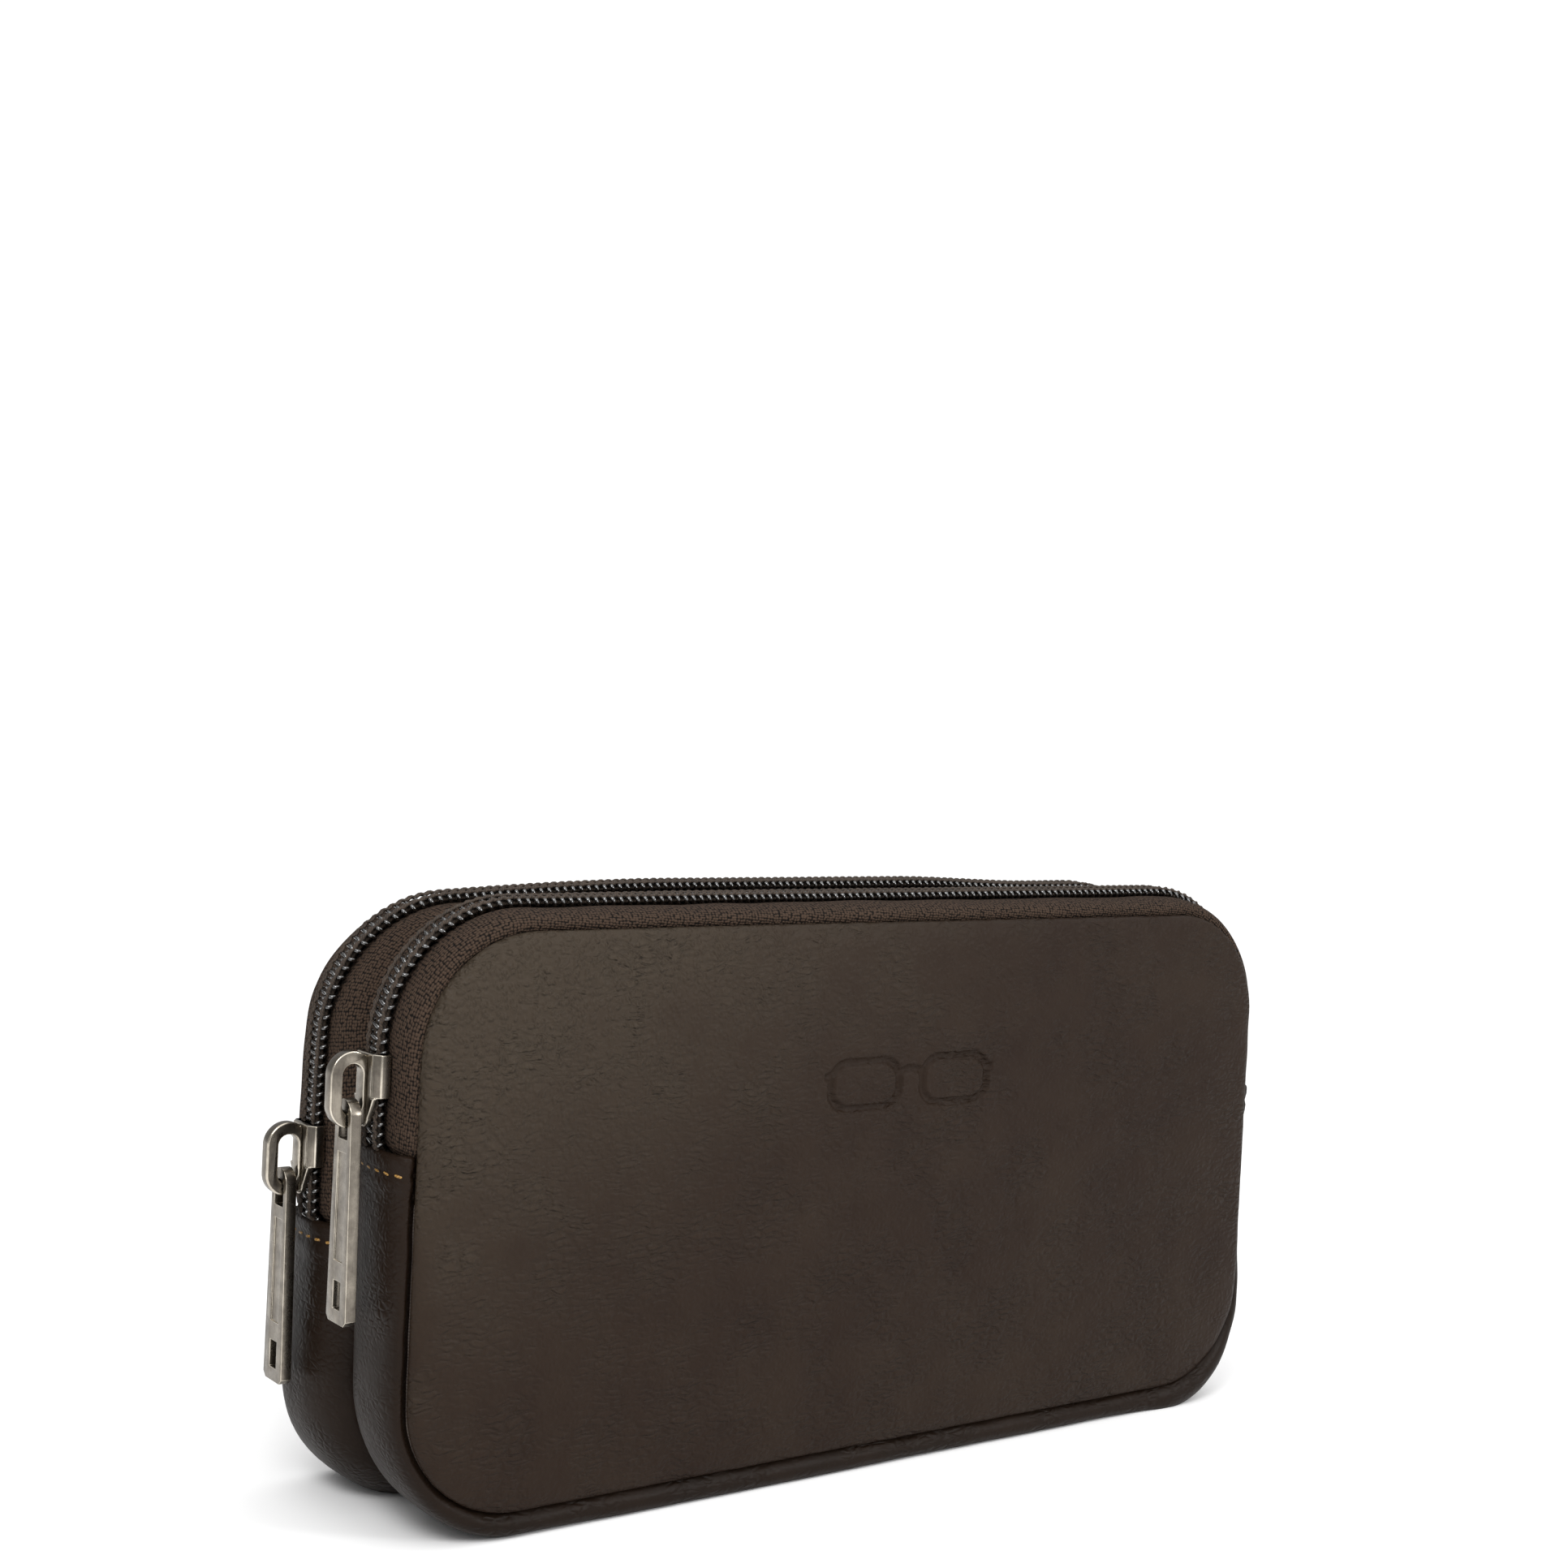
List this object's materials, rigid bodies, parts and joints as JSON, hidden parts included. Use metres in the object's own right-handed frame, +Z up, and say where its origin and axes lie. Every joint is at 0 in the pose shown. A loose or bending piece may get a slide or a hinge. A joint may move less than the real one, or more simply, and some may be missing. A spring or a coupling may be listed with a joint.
{
  "type": "double glasses case",
  "caption": "Soft leather case with two zipped compartments side by side for glasses, with coil zips over rounded corners and hanging metal pull tabs.",
  "frame": {"origin": "on the surface the case stands on, under the middle of the whole object's box, the bridges and pulls included", "axes": "+X along the case's width away from the zip sliders, +Y from the front compartment to the rear one, +Z up"},
  "size_m": [0.1985, 0.045, 0.1019],
  "materials": {
    "leather": "smooth grained cowhide, semi-matt finish",
    "foam": "closed-cell foam sheet",
    "lining_cloth": "plain woven lining cloth",
    "zip_tape": "woven polyester zip tape",
    "zip_coil": "glossy nylon monofilament coil",
    "nickel": "tumbled antique nickel plating on zinc casting",
    "thread": "twisted polyester sewing thread"
  },
  "bodies": {
    "case": {"front_panel": "leather", "front_panel_padding": "foam", "front_panel_lining": "lining_cloth", "front_gusset": "leather", "front_gusset_lining": "lining_cloth", "front_hem_stitches": "thread", "front_outer_tape": "zip_tape", "front_inner_tape": "zip_tape", "front_outer_coil": "zip_coil", "front_inner_coil": "zip_coil", "front_divider_lining": "lining_cloth", "divider_board": "leather", "rear_panel": "leather", "rear_panel_padding": "foam", "rear_panel_lining": "lining_cloth", "rear_gusset": "leather", "rear_gusset_lining": "lining_cloth", "rear_hem_stitches": "thread", "rear_outer_tape": "zip_tape", "rear_inner_tape": "zip_tape", "rear_outer_coil": "zip_coil", "rear_inner_coil": "zip_coil", "rear_divider_lining": "lining_cloth"},
    "front_slider": {"front_slider_body": "nickel", "front_slider_bridge": "nickel"},
    "front_pull": {"front_pull_tab": "nickel"},
    "rear_slider": {"rear_slider_body": "nickel", "rear_slider_bridge": "nickel"},
    "rear_pull": {"rear_pull_tab": "nickel"}
  },
  "joints": [
    {"name": "front_slider_travel", "type": "hinge", "parent": "case", "child": "front_slider", "pos_m": [-0.06835, -0.0113, 0.0783], "axis": [0, 1, 0], "range_deg": [0, 90]},
    {"name": "front_pull_swing", "type": "hinge", "parent": "front_slider", "child": "front_pull", "pos_m": [-0.09555, -0.0113, 0.0698], "axis": [0, 1, 0], "range_deg": [-4, 120]},
    {"name": "rear_slider_travel", "type": "slide", "parent": "case", "child": "rear_slider", "axis": [0, 0, 1], "range_m": [0, 0.0155]},
    {"name": "rear_pull_swing", "type": "hinge", "parent": "rear_slider", "child": "rear_pull", "pos_m": [-0.09555, 0.0113, 0.0548], "axis": [0, 1, 0], "range_deg": [-4, 120]}
  ]
}
